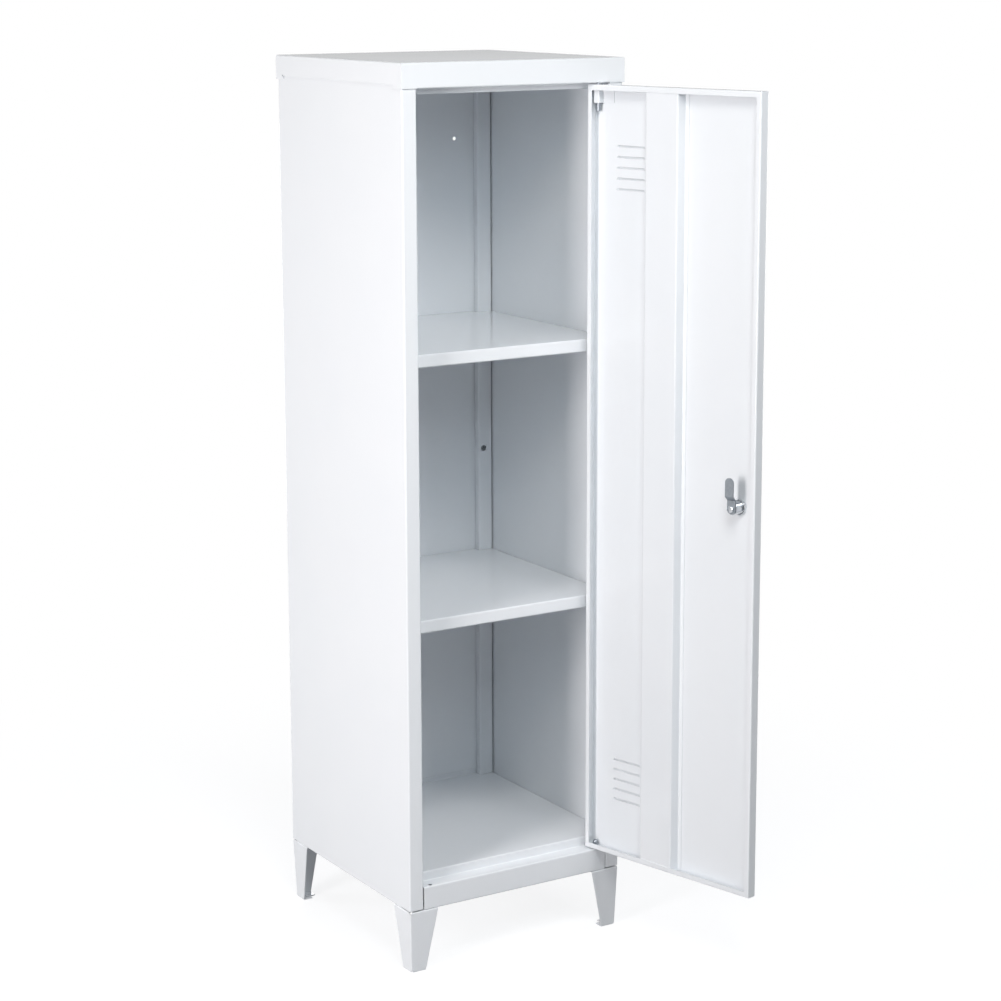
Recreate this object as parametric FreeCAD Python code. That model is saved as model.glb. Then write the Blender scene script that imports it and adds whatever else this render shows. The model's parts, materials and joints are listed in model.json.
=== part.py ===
"""Clothing locker of folded sheet steel: one inset door on pivot pins, two shelves, four folded legs.

Frame: X to the right, Y into the depth, Z up, millimetres. Every piece is drawn about the middle of
the body, and the whole is moved at the end so that the origin is on the floor under the front left
foot. The door is drawn closed, then turned to the open position it rests in.
"""

import FreeCAD, Part
import math
import os

V = FreeCAD.Vector
UP = V(0, 0, 1)
INWARD = V(0, 1, 0)

# Body
HEIGHT = 1370.0
WIDTH = 380.0
DEPTH = 388.0
LEG_HEIGHT = 97.5
SHEET = 0.8
BEND = 1.6
FOLD = BEND + SHEET
LEFT, RIGHT = -WIDTH / 2, WIDTH / 2
FRONT, REAR = -DEPTH / 2, DEPTH / 2
WALL_GAP = 0.6
EDGE_GAP = 1.0

# Posts and the flanges at both ends of a side panel
FRONT_POST_FACE = 24.0
FRONT_POST_DEPTH = 25.0
FRONT_POST_LIP = 12.0
REAR_POST_FACE = 28.0
REAR_POST_DEPTH = 13.0
REAR_POST_SLOT = 3.0
SIDE_FLANGE = 25.0
SIDE_FLANGE_SETBACK = 27.0
STOP_Y = FRONT + FRONT_POST_DEPTH
OPENING_X = RIGHT - FRONT_POST_FACE
STRIP_Y = REAR - REAR_POST_DEPTH
REAR_OPENING_X = RIGHT - REAR_POST_FACE

# Cap
CAP_OVERHANG = 2.0
CAP_FLANGE = 37.0
CAP_NOTCH = 5.5
CAP_CORNER = 24.0
CAP_RELIEF_R, CAP_RELIEF_SPACE = 1.5, 2.6
CAP_STOP_LIP = 9.5
CAP_EDGE = HEIGHT - CAP_FLANGE
BODY_TOP = HEIGHT - SHEET
STUD_X, STUD_Y = 177.0, 120.0
STUD_R, STUD_LENGTH = 2.5, 12.0

# Floor, ledge and rail
FLOOR_Z = 148.5
LEDGE_Z = 134.0
RAIL_RETURN, RAIL_BOX_GAP = 28.0, 0.5
FLOOR_UPSTAND = 8.5
FLOOR_FOOT_LIFT = 0.7

# Back panel
BACK_HALF_WIDTH = 183.0
BACK_TOP = HEIGHT - 4.0
BACK_FLANGE = 22.0
ANCHOR_X, ANCHOR_Z, ANCHOR_R = 126.6, 1228.7, 3.0
ACCESS_X, ACCESS_Z, ACCESS_R = 172.0, 715.0, 5.0
BACK_SCREW_R, BACK_SCREW_HEAD_R, BACK_SCREW_HEAD = 2.5, 5.0, 1.1
BACK_SCREW_LENGTH = 8.0

# Shelves
SHELF_TOPS = {"upper_shelf": 944.7, "lower_shelf": 542.3}
SHELF_EDGE = 19.5
SHELF_RETURN = 9.0
SHELF_FRONT = STOP_Y + 0.5
SHELF_BRACKET_LENGTH, SHELF_BRACKET_LEG, SHELF_BRACKET_SHEET = 40.0, 15.0, 1.2
SHELF_BRACKET_Y = 120.0

# Legs
LEG_SHEET = 1.5
LEG_BEND = 0.6
LEG_TOP, LEG_FOOT, LEG_LEAN = 49.5, 25.0, 3.5
LEG_TOP_FLANGE, LEG_FOOT_FLANGE = 22.0, 16.0
LEG_RELIEF = 2.3
FOOT_SPOT_X, FOOT_SPOT_Y = 18.5, 8.0
LEG_BOLT_ALONG, LEG_BOLT_IN = 34.0, 13.0
LEG_BOLT_R, LEG_BOLT_HOLE_R = 3.0, 3.3
LEG_BOLT_HEAD, LEG_BOLT_LENGTH = 4.0, 12.0

# Hexagon nuts, across flats and thickness
M5_FLATS, M5_NUT = 8.0, 4.0
M6_FLATS, M6_NUT = 10.0, 5.0
HOLE_SLACK = 0.3
HIDDEN_SIDES = 8

# Door, closed: s runs from the hinge edge, t from the outer face inwards
DOOR_OPEN = 104.3
DOOR_WIDTH = 328.0
DOOR_THICK = 17.0
DOOR_BOTTOM, DOOR_TOP = 136.0, 1330.5
DOOR_LIP = 8.5
DOOR_FOLD = 2.0
HINGE_EDGE_X = DOOR_WIDTH / 2
PIVOT_S, PIVOT_T = 13.0, 6.0
PIN_R = 3.0
RUNNING_FIT = 0.06

# Hat-section stiffener behind the door
STIFFENER_S = 144.5
STIFFENER_TOP_HALF, STIFFENER_FOOT_HALF, STIFFENER_BASE_HALF = 30.0, 33.0, 40.0
STIFFENER_END_GAP = 1.3

# Louvres
LOUVRE_S, LOUVRE_HALF = 73.0, 28.5
LOUVRE_R, LOUVRE_SKIRT = 3.2, 2.5
LOUVRE_PITCH, LOUVRE_COUNT = 16.0, 5
LOUVRE_SLITS = (1174.3, 221.3)

# Hinge hardware
HINGE_BRACKET_BOTTOM, HINGE_BRACKET_TOP = 1303.0, 1322.5
HINGE_SHEET = 1.0
CHANNEL_HALF, CHANNEL_T, TAB_END_S = 4.8, 10.6, 40.0
PIN_TAIL_BOTTOM, PIN_TAIL_TOP, PIN_TAIL_R = 1290.5, 1301.5, 3.5
PIN_TOP, PIN_POINT = 1341.0, 1.0
COLLAR_R, COLLAR_BOTTOM, COLLAR_HEIGHT = 4.4, 1318.0, 2.0
SPRING_R, SPRING_WIRE_R, SPRING_TURNS, SPRING_END_GAP = 3.75, 0.4, 4, 0.1
LOWER_PIN_BOTTOM, LOWER_HEAD_R, LOWER_HEAD_TOP, LOWER_HEAD_CROWN = 126.0, 4.0, 148.0, 2.0
WASHER_R, WASHER_GAP = 5.5, 0.1

# Cam lock
LOCK_S, LOCK_Z = 289.0, 726.0
LOCK_FLANGE_R, LOCK_FLANGE, LOCK_FLANGE_BEVEL = 11.5, 3.0, 1.0
BARREL_R, BARREL_FLATS, BARREL_END_T = 9.3, 16.0, 20.0
LOCK_NUT_FLATS, LOCK_NUT = 22.0, 4.0
PLUG_R, PLUG_PROUD, PLUG_SHOULDER = 6.5, 0.4, 0.5
PLUG_SQUARE, PLUG_SQUARE_LENGTH = 8.0, 2.0
KEYWAY_LENGTH, KEYWAY_WIDTH, KEYWAY_DEPTH = 9.0, 2.2, 4.0
CAM_WIDTH, CAM_SHEET, CAM_LENGTH = 15.0, 2.0, 47.0
CAM_CRANK_START, CAM_CRANK_END, CAM_ARM_T = 14.0, 19.0, 28.0
CAM_SCREW_R, CAM_SCREW_FLATS, CAM_SCREW_HEAD, CAM_SCREW_LENGTH = 2.5, 10.0, 3.5, 10.0

PIVOT = V(HINGE_EDGE_X - PIVOT_S, FRONT + PIVOT_T, 0)
ORIGIN = V(LEFT + LEG_LEAN + FOOT_SPOT_X, FRONT + LEG_LEAN + FOOT_SPOT_Y, 0)


def box(low, high):
    """Block between two opposite corners."""
    size = high - low
    return Part.makeBox(size.x, size.y, size.z, low)


def slab(x0, x1, y0, y1, z0, z1):
    """Block given by its limits along each axis."""
    return box(V(x0, y0, z0), V(x1, y1, z1))


def rod(radius, foot, axis, length):
    """Cylinder standing on foot."""
    return Part.makeCylinder(radius, length, foot, axis)


def prism(points, depth):
    """Closed polygon carried along the vector depth."""
    outline = Part.makePolygon(list(points) + [points[0]])
    return Part.Face(outline).extrude(depth)


def polygon_rod(sides, reach, foot, axis, length):
    """Regular prism standing on foot; reach is the distance from its axis to its corners."""
    side = axis.cross(V(1, 0, 0) if abs(axis.x) < 0.5 else UP).normalize()
    turn = axis.cross(side)
    angles = [2 * math.pi * k / sides for k in range(sides)]
    corners = [foot + side * (reach * math.cos(a)) + turn * (reach * math.sin(a)) for a in angles]
    return prism(corners, axis * length)


def hidden_rod(radius, foot, axis, length):
    """Shank, bore or clearance hole of a fastener that is out of sight, in few flat faces."""
    return polygon_rod(HIDDEN_SIDES, radius, foot, axis, length)


def hexagon(flats, centre, axis, thickness):
    """Hexagon head or blank of a nut."""
    return polygon_rod(6, flats / math.sqrt(3), centre, axis, thickness)


def hidden_nut(flats, centre, axis, thickness, bore):
    """Hexagon nut on the shank of a fastener that is out of sight."""
    return hexagon(flats, centre, axis, thickness).cut(hidden_rod(bore, centre, axis, thickness))


def mirrored_x(shape):
    """The same shape on the other side of the middle plane."""
    return shape.mirror(V(0, 0, 0), V(1, 0, 0))


def mirrored_y(shape):
    """The same shape at the other end of the depth."""
    return shape.mirror(V(0, 0, 0), V(0, 1, 0))


def folded(path, depth, thickness=SHEET, bend=BEND):
    """Sheet folded along a path of flat faces and carried along the vector depth.

    The path is one face of the sheet, and the sheet lies to its left, seen against depth. Every fold
    has the inner radius bend, so the path's own radius is bend or bend + thickness by the way it turns.
    """
    normal = V(depth).normalize()
    ways = [(b - a).normalize() for a, b in zip(path, path[1:])]
    lefts = [normal.cross(way) for way in ways]

    def face_edges(offset):
        """Lines and arcs of the face that lies offset to the left of the path."""
        edges = []
        begin = path[0] + lefts[0] * offset
        for i in range(1, len(ways)):
            turn = 1 if normal.dot(ways[i - 1].cross(ways[i])) > 0 else -1
            path_radius = bend + thickness if turn > 0 else bend
            tangent = path_radius * math.tan(ways[i - 1].getAngle(ways[i]) / 2)
            centre = path[i] - ways[i - 1] * tangent + lefts[i - 1] * (turn * path_radius)
            reach = turn * path_radius - offset
            enter, leave = centre - lefts[i - 1] * reach, centre - lefts[i] * reach
            middle = centre - (lefts[i - 1] + lefts[i]).normalize() * reach
            edges += [Part.makeLine(begin, enter), Part.Arc(enter, middle, leave).toShape()]
            begin = leave
        return edges + [Part.makeLine(begin, path[-1] + lefts[-1] * offset)]

    ends = [Part.makeLine(path[i], path[i] + lefts[i] * thickness) for i in (0, -1)]
    outline = Part.Wire(Part.__sortEdges__(face_edges(0) + face_edges(thickness) + ends))
    return Part.Face(outline).extrude(depth)


def edges_where(shape, test):
    """Edges whose middle point passes the test."""
    return [e for e in shape.Edges if test(e.valueAt((e.FirstParameter + e.LastParameter) / 2))]


def open_pan(low, high, thickness, fold):
    """Lid with its mouth downwards, folded along its four top edges, with square welded corners."""
    def rounded(shape, radius):
        top = shape.BoundBox.ZMax - 1e-6
        return shape.makeFillet(radius, edges_where(shape, lambda p: p.z > top))

    wall = V(thickness, thickness, 0)
    outer = rounded(box(low, high), fold)
    inner = rounded(box(low + wall, high - wall - UP * thickness), fold - thickness)
    return outer.cut(inner)


def top_cap():
    """Lid over the body. Its front flange turns in as the upper ledge, then down as the door stop."""
    half_x, half_y = RIGHT + CAP_OVERHANG, REAR + CAP_OVERHANG
    cap = open_pan(V(-half_x, -half_y, CAP_EDGE), V(half_x, half_y, HEIGHT), SHEET, FOLD)
    ledge_x = OPENING_X - EDGE_GAP / 2
    fold_top = CAP_EDGE + 2 * FOLD
    cap = cap.cut(slab(-ledge_x, ledge_x, -half_y, -half_y + SHEET, CAP_EDGE, fold_top))
    path = [
        V(-ledge_x, -half_y, fold_top),
        V(-ledge_x, -half_y, CAP_EDGE),
        V(-ledge_x, STOP_Y, CAP_EDGE),
        V(-ledge_x, STOP_Y, CAP_EDGE - CAP_STOP_LIP),
    ]
    cap = cap.fuse(folded(path, V(2 * ledge_x, 0, 0)))
    notch_y = half_y - CAP_CORNER
    notch = slab(-half_x, -half_x + SHEET, -notch_y, notch_y, CAP_EDGE, CAP_EDGE + CAP_NOTCH)
    cap = cap.cut([notch, mirrored_x(notch)])
    relief = V(-half_x, notch_y + CAP_RELIEF_SPACE, CAP_EDGE + CAP_NOTCH)
    cap = cap.cut(rod(CAP_RELIEF_R, relief, V(1, 0, 0), 2 * half_x))
    for x in (-PIVOT.x, PIVOT.x):
        cap = cap.cut(rod(PIN_R + RUNNING_FIT, V(x, PIVOT.y, CAP_EDGE), UP, SHEET))
    return cap.removeSplitter()


def left_side_panel():
    """Wall with a boxed post at each end and an inward flange at the top and the bottom."""
    post_bottom = LEG_HEIGHT + FOLD
    plan = [
        V(LEFT + REAR_POST_SLOT, STRIP_Y, post_bottom),
        V(-REAR_OPENING_X, STRIP_Y, post_bottom),
        V(-REAR_OPENING_X, REAR, post_bottom),
        V(LEFT, REAR, post_bottom),
        V(LEFT, FRONT, post_bottom),
        V(-OPENING_X, FRONT, post_bottom),
        V(-OPENING_X, STOP_Y, post_bottom),
        V(-OPENING_X - FRONT_POST_LIP, STOP_Y, post_bottom),
    ]
    panel = folded(plan, UP * (BODY_TOP - FOLD - post_bottom))
    flange_from = FRONT + SIDE_FLANGE_SETBACK
    flange_to = STRIP_Y - (SIDE_FLANGE_SETBACK - FRONT_POST_DEPTH)
    run = INWARD * (flange_to - flange_from)
    bottom = [
        V(LEFT, flange_from, LEG_HEIGHT + 2 * FOLD),
        V(LEFT, flange_from, LEG_HEIGHT),
        V(LEFT + SIDE_FLANGE, flange_from, LEG_HEIGHT),
    ]
    top = [
        V(LEFT, flange_from, BODY_TOP - 2 * FOLD),
        V(LEFT, flange_from, BODY_TOP),
        V(LEFT + SIDE_FLANGE, flange_from, BODY_TOP),
    ]
    panel = panel.fuse(folded([p + run for p in bottom], -run))
    panel = panel.fuse(folded(top, run))
    access = V(-ACCESS_X, STRIP_Y, ACCESS_Z)
    panel = panel.cut(rod(ACCESS_R, access, INWARD, SHEET))
    panel = panel.cut(hidden_rod(BACK_SCREW_R + HOLE_SLACK, access, INWARD, REAR_POST_DEPTH))
    for y in (-STUD_Y, STUD_Y):
        panel = panel.cut(hidden_rod(STUD_R + HOLE_SLACK, V(-STUD_X, y, BODY_TOP - SHEET), UP, SHEET))
    for bolt in leg_bolt_places():
        panel = panel.cut(hidden_rod(LEG_BOLT_HOLE_R, bolt, UP, SHEET))
    return panel.removeSplitter()


def back_panel():
    """Flat sheet lapped on the rear posts, with a forward flange along the bottom."""
    outer_y = REAR + SHEET
    path = [
        V(BACK_HALF_WIDTH, outer_y, BACK_TOP),
        V(BACK_HALF_WIDTH, outer_y, LEG_HEIGHT),
        V(BACK_HALF_WIDTH, outer_y - BACK_FLANGE, LEG_HEIGHT),
    ]
    panel = folded(path, V(-2 * BACK_HALF_WIDTH, 0, 0))
    flange_x = REAR_OPENING_X + EDGE_GAP
    corner = slab(flange_x, BACK_HALF_WIDTH, outer_y - BACK_FLANGE, outer_y, LEG_HEIGHT, LEG_HEIGHT + FOLD)
    panel = panel.cut(corner).cut(mirrored_x(corner))
    for x in (-ANCHOR_X, ANCHOR_X):
        panel = panel.cut(rod(ANCHOR_R, V(x, REAR, ANCHOR_Z), INWARD, SHEET))
    for x in (-ACCESS_X, ACCESS_X):
        panel = panel.cut(hidden_rod(BACK_SCREW_R + HOLE_SLACK, V(x, REAR, ACCESS_Z), INWARD, SHEET))
    for bolt in leg_bolt_places():
        panel = panel.cut(hidden_rod(LEG_BOLT_HOLE_R, bolt, UP, SHEET))
    return panel.removeSplitter()


def bottom_panel():
    """Floor with side flanges, stepped at the front into the stop lip, the ledge and a boxed rail."""
    rail_x = OPENING_X - EDGE_GAP
    upstand_x = REAR_OPENING_X - EDGE_GAP
    profile = [
        (STOP_Y, FLOOR_Z),
        (STOP_Y, LEDGE_Z),
        (FRONT, LEDGE_Z),
        (FRONT, LEG_HEIGHT),
        (FRONT + RAIL_RETURN, LEG_HEIGHT),
        (FRONT + RAIL_RETURN, FLOOR_Z - SHEET - RAIL_BOX_GAP),
    ]
    front = [V(-rail_x, 0, FLOOR_Z)] + [V(-rail_x, y, z) for y, z in profile]
    panel = folded(front, V(2 * rail_x, 0, 0))
    rear = [
        V(-upstand_x, REAR - SHEET, FLOOR_Z + FLOOR_UPSTAND),
        V(-upstand_x, REAR - SHEET, FLOOR_Z),
        V(-upstand_x, 0, FLOOR_Z),
    ]
    panel = panel.fuse(folded(rear, V(2 * upstand_x, 0, 0)))
    side_x = RIGHT - SHEET - WALL_GAP / 2
    flange_foot = LEG_HEIGHT + SHEET + FLOOR_FOOT_LIFT
    across = [
        V(-side_x, STRIP_Y - EDGE_GAP, flange_foot),
        V(-side_x, STRIP_Y - EDGE_GAP, FLOOR_Z),
        V(side_x, STRIP_Y - EDGE_GAP, FLOOR_Z),
        V(side_x, STRIP_Y - EDGE_GAP, flange_foot),
    ]
    depth = STRIP_Y - STOP_Y - 2 * EDGE_GAP - FOLD
    panel = panel.fuse(folded([p - INWARD * depth for p in across], INWARD * depth))
    for x in (-PIVOT.x, PIVOT.x):
        panel = panel.cut(rod(PIN_R + RUNNING_FIT, V(x, PIVOT.y, LEDGE_Z - SHEET), UP, SHEET))
    for bolt in leg_bolt_places():
        panel = panel.cut(hidden_rod(LEG_BOLT_HOLE_R, bolt, UP, SHEET))
    return panel.removeSplitter()


def shelf(top):
    """Shelf with edges folded down all round, notched at the back for the rear posts."""
    def block(inset, height, fold):
        side_x = RIGHT - SHEET - WALL_GAP - inset
        notch_x = REAR_OPENING_X - EDGE_GAP - inset
        notch_y, rear_y = STRIP_Y - EDGE_GAP - inset, REAR - WALL_GAP - inset
        right = [(side_x, SHELF_FRONT + inset), (side_x, notch_y), (notch_x, notch_y), (notch_x, rear_y)]
        outline = right + [(-x, y) for x, y in reversed(right)]
        solid = prism([V(x, y, top - SHELF_EDGE) for x, y in outline], UP * height)
        return solid.makeFillet(fold, edges_where(solid, lambda p: p.z > top - SHELF_EDGE + height - 1e-6))

    pan = block(0, SHELF_EDGE, FOLD).cut(block(SHEET, SHELF_EDGE - SHEET, BEND))
    return_x = RIGHT - SHEET - WALL_GAP - FOLD
    bottom = top - SHELF_EDGE
    pan = pan.cut(slab(-return_x, return_x, SHELF_FRONT, SHELF_FRONT + SHEET, bottom, bottom + 2 * FOLD))
    front = [
        V(-return_x, SHELF_FRONT, bottom + 2 * FOLD),
        V(-return_x, SHELF_FRONT, bottom),
        V(-return_x, SHELF_FRONT + SHELF_RETURN, bottom),
    ]
    return pan.fuse(folded(front, V(2 * return_x, 0, 0))).removeSplitter()


def shelf_brackets():
    """Angle brackets on the walls, four under each shelf."""
    wall_x = LEFT + SHEET
    leg, sheet = SHELF_BRACKET_LEG, SHELF_BRACKET_SHEET
    solids = []
    for top in SHELF_TOPS.values():
        seat = top - SHELF_EDGE
        for y in (-SHELF_BRACKET_Y, SHELF_BRACKET_Y):
            corner = V(wall_x, y - SHELF_BRACKET_LENGTH / 2, seat)
            outline = [(0, -leg), (0, 0), (leg, 0), (leg, -sheet), (sheet, -sheet), (sheet, -leg)]
            angle = prism([corner + V(x, 0, z) for x, z in outline], INWARD * SHELF_BRACKET_LENGTH)
            solids += [angle, mirrored_x(angle)]
    return Part.makeCompound(solids)


def leg_bolt_places():
    """Middle of each leg bolt, on the plane between a leg and the body."""
    corner_spots = (
        (RIGHT - LEG_BOLT_ALONG, REAR - LEG_BOLT_IN),
        (RIGHT - LEG_BOLT_IN, REAR - LEG_BOLT_ALONG),
    )
    signs = [(i, j) for i in (-1, 1) for j in (-1, 1)]
    return [V(i * x, j * y, LEG_HEIGHT) for i, j in signs for x, y in corner_spots]


def front_left_leg():
    """Folded corner leg: two tapered faces that lean in, with flanges turned in at the top and the foot."""
    foot_x, foot_y = LEFT + LEG_LEAN, FRONT + LEG_LEAN
    fold = LEG_BEND + LEG_SHEET
    path = [
        V(LEFT, FRONT + LEG_TOP_FLANGE, LEG_HEIGHT),
        V(LEFT, FRONT, LEG_HEIGHT),
        V(LEFT, foot_y, 0),
        V(LEFT, foot_y + LEG_FOOT_FLANGE, 0),
    ]
    face = folded(path, V(LEG_TOP, 0, 0), LEG_SHEET, LEG_BEND)
    taper = [
        V(LEFT + fold, FRONT, LEG_HEIGHT),
        V(LEFT + LEG_TOP, FRONT, LEG_HEIGHT),
        V(foot_x + LEG_FOOT, FRONT, 0),
        V(foot_x + fold, FRONT, 0),
    ]
    face = face.common(prism(taper, INWARD * LEG_TOP))
    # Open mitre between the two flanges at the top and at the foot
    for corner_x, corner_y, z, reach in (
        (LEFT, FRONT, LEG_HEIGHT - LEG_RELIEF, LEG_TOP_FLANGE),
        (foot_x, foot_y, 0, LEG_FOOT_FLANGE),
    ):
        start = V(corner_x + fold, corner_y, z)
        far_end = start + V(reach + EDGE_GAP, reach, 0)
        wedge = [start, far_end, start + V(-fold, reach, 0), start - V(fold, 0, 0)]
        face = face.cut(prism(wedge, UP * LEG_RELIEF))
    bolt = V(LEFT + LEG_BOLT_ALONG, FRONT + LEG_BOLT_IN, LEG_HEIGHT - LEG_SHEET)
    face = face.cut(hidden_rod(LEG_BOLT_HOLE_R, bolt, UP, LEG_SHEET))
    diagonal = V(1, -1, 0).normalize()
    other_face = face.mirror(V(LEFT, FRONT, 0), diagonal)
    # Rounded fold between the faces, carried along the lean and stopped short of both flanges
    lean = V(-LEG_LEAN, -LEG_LEAN, LEG_HEIGHT)
    level_wall = LEG_SHEET / math.cos(math.atan2(LEG_LEAN, LEG_HEIGHT))
    centre = V(foot_x + fold, foot_y + fold, 0) + lean * (LEG_RELIEF / LEG_HEIGHT)
    out = V(-1, -1, 0).normalize()
    outer, inner = fold, fold - level_wall
    arcs = [
        Part.Arc(centre + V(-r, 0, 0), centre + out * r, centre + V(0, -r, 0)).toShape()
        for r in (outer, inner)
    ]
    ends = [
        Part.makeLine(centre + way * inner, centre + way * outer)
        for way in (V(-1, 0, 0), V(0, -1, 0))
    ]
    quarter = Part.Face(Part.Wire(Part.__sortEdges__(arcs + ends)))
    corner = quarter.extrude(lean * (1 - 2 * LEG_RELIEF / LEG_HEIGHT))
    return face.fuse([other_face, corner]).removeSplitter()


def leg_bolts():
    """Hexagon bolts, heads under the legs' top flanges."""
    bolts = []
    for place in leg_bolt_places():
        seat = place - UP * LEG_SHEET
        head = hexagon(M6_FLATS, seat - UP * LEG_BOLT_HEAD, UP, LEG_BOLT_HEAD)
        bolts.append(head.fuse(hidden_rod(LEG_BOLT_R, seat, UP, LEG_BOLT_LENGTH)))
    return Part.makeCompound(bolts)


def leg_nuts():
    """Nuts above the body's bottom flanges."""
    seats = [p + UP * SHEET for p in leg_bolt_places()]
    return Part.makeCompound([hidden_nut(M6_FLATS, p, UP, M6_NUT, LEG_BOLT_R) for p in seats])


def cap_stud_places():
    """Root of each stud, on the underside of the cap."""
    return [V(x, y, BODY_TOP) for x in (-STUD_X, STUD_X) for y in (-STUD_Y, STUD_Y)]


def cap_studs():
    """Threaded studs welded under the cap."""
    return Part.makeCompound([hidden_rod(STUD_R, p, -UP, STUD_LENGTH) for p in cap_stud_places()])


def cap_nuts():
    """Nuts that hold the studs under the side panels' top flanges."""
    seats = [p - UP * SHEET for p in cap_stud_places()]
    return Part.makeCompound([hidden_nut(M5_FLATS, p, -UP, M5_NUT, STUD_R) for p in seats])


def back_screws():
    """Flat-headed screws through the back panel into the rear posts."""
    screws = []
    for x in (-ACCESS_X, ACCESS_X):
        seat = V(x, REAR + SHEET, ACCESS_Z)
        head = rod(BACK_SCREW_HEAD_R, seat, INWARD, BACK_SCREW_HEAD)
        screws.append(head.fuse(hidden_rod(BACK_SCREW_R, seat, -INWARD, BACK_SCREW_LENGTH)))
    return Part.makeCompound(screws)


def back_nuts():
    """Nuts inside the rear posts, behind the access holes."""
    seats = [V(x, REAR - SHEET, ACCESS_Z) for x in (-ACCESS_X, ACCESS_X)]
    return Part.makeCompound([hidden_nut(M5_FLATS, p, -INWARD, M5_NUT, BACK_SCREW_R) for p in seats])


def on_door(s, t, z):
    """Point of the closed door: s from the hinge edge, t from the outer face."""
    return V(HINGE_EDGE_X - s, FRONT + t, z)


def door_block(inset, fold):
    """Door's outer form, or its hollow where inset is the sheet, with every face edge rounded."""
    low = on_door(DOOR_WIDTH - inset, inset, DOOR_BOTTOM + inset)
    high = on_door(inset, DOOR_THICK - inset, DOOR_TOP - inset)
    block = box(low, high)
    middle_y, half_y = (low.y + high.y) / 2, (high.y - low.y) / 2
    return block.makeFillet(fold, edges_where(block, lambda p: abs(p.y - middle_y) > half_y - 1e-6))


def louvre_form(radius, slit_z, skirt):
    """Quarter-round hood with tapered ends, turned about its slit, and a skirt below its mouth."""
    half = LOUVRE_HALF + radius - LOUVRE_R
    middle = on_door(LOUVRE_S, SHEET, slit_z)
    left, right = middle - V(half, 0, 0), middle + V(half, 0, 0)
    outline = [left, right, right + V(-radius, 0, radius), left + V(radius, 0, radius)]
    hood = Part.Face(Part.makePolygon(outline + [left])).revolve(left, V(1, 0, 0), 90)
    mouth = [left, right, right + V(-radius, -radius, 0), left + V(radius, -radius, 0)]
    return hood.fuse(prism(mouth, UP * -skirt))


def door_panel():
    """Pressed pan with a lip all round its inner side and two groups of louvres."""
    panel = door_block(0, DOOR_FOLD).cut(door_block(SHEET, DOOR_FOLD - SHEET))
    window_low = on_door(DOOR_WIDTH - DOOR_LIP, DOOR_THICK - SHEET, DOOR_BOTTOM + DOOR_LIP)
    window_high = on_door(DOOR_LIP, DOOR_THICK, DOOR_TOP - DOOR_LIP)
    panel = panel.cut(box(window_low, window_high))
    outer_r, inner_r = LOUVRE_R + SHEET, LOUVRE_R
    slits = [z + k * LOUVRE_PITCH for z in LOUVRE_SLITS for k in range(LOUVRE_COUNT)]
    shells = []
    holes = []
    for z in slits:
        inner = louvre_form(inner_r, z, 2 * LOUVRE_SKIRT)
        below = slab(-DOOR_WIDTH, DOOR_WIDTH, FRONT, FRONT + SHEET, z - 3 * LOUVRE_SKIRT, z)
        holes.append(inner.cut(below))
        shells.append(louvre_form(outer_r, z, LOUVRE_SKIRT).cut(below).cut(inner))
    panel = panel.cut(holes).fuse(shells)
    panel = panel.cut(lock_barrel(HOLE_SLACK / 2))
    panel = panel.cut(rod(PIN_R, on_door(PIVOT_S, PIVOT_T, DOOR_BOTTOM), UP, SHEET))
    top_hole = on_door(PIVOT_S, PIVOT_T, DOOR_TOP - SHEET)
    panel = panel.cut(rod(PIN_R + RUNNING_FIT, top_hole, UP, SHEET))
    return panel.removeSplitter()


def door_stiffener():
    """Hat-section channel from top to bottom, on the inside of the face and under the lips."""
    top = DOOR_TOP - SHEET - STIFFENER_END_GAP
    bottom = DOOR_BOTTOM + SHEET + STIFFENER_END_GAP
    crown_t = DOOR_THICK - 2 * SHEET
    half_profile = [
        (STIFFENER_BASE_HALF, SHEET),
        (STIFFENER_FOOT_HALF, SHEET),
        (STIFFENER_TOP_HALF, crown_t),
    ]
    profile = [(-s, t) for s, t in half_profile] + [(s, t) for s, t in reversed(half_profile)]
    path = [on_door(STIFFENER_S + s, t, top) for s, t in profile]
    return folded(path, UP * (bottom - top))


def upper_hinge_bracket():
    """Channel that guides the sprung pin, with a tab on the door's face and a floor with the pin's hole."""
    near_s, far_s = PIVOT_S - CHANNEL_HALF, PIVOT_S + CHANNEL_HALF
    profile = [
        (TAB_END_S, SHEET),
        (far_s, SHEET),
        (far_s, CHANNEL_T),
        (near_s, CHANNEL_T),
        (near_s, SHEET + BEND),
    ]
    path = [on_door(s, t, HINGE_BRACKET_BOTTOM) for s, t in profile]
    bracket = folded(path, UP * (HINGE_BRACKET_TOP - HINGE_BRACKET_BOTTOM), HINGE_SHEET, HINGE_SHEET / 2)
    low = on_door(far_s, SHEET + BEND, HINGE_BRACKET_BOTTOM)
    high = on_door(near_s, CHANNEL_T, HINGE_BRACKET_BOTTOM + HINGE_SHEET)
    bracket = bracket.fuse(box(low, high))
    hole = on_door(PIVOT_S, PIVOT_T, HINGE_BRACKET_BOTTOM)
    return bracket.cut(rod(PIN_R + RUNNING_FIT, hole, UP, HINGE_SHEET)).removeSplitter()


def upper_hinge_pin():
    """Pivot pin with a pointed top, a collar for its spring and a finger tail below the bracket."""
    profile = [
        (0, PIN_TAIL_BOTTOM),
        (PIN_TAIL_R - PIN_POINT / 2, PIN_TAIL_BOTTOM),
        (PIN_TAIL_R, PIN_TAIL_BOTTOM + PIN_POINT / 2),
        (PIN_TAIL_R, PIN_TAIL_TOP),
        (PIN_R, PIN_TAIL_TOP),
        (PIN_R, COLLAR_BOTTOM),
        (COLLAR_R, COLLAR_BOTTOM),
        (COLLAR_R, COLLAR_BOTTOM + COLLAR_HEIGHT),
        (PIN_R, COLLAR_BOTTOM + COLLAR_HEIGHT),
        (PIN_R, PIN_TOP - PIN_POINT),
        (PIN_R - PIN_POINT, PIN_TOP),
        (0, PIN_TOP),
    ]
    return turned(profile)


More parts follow.
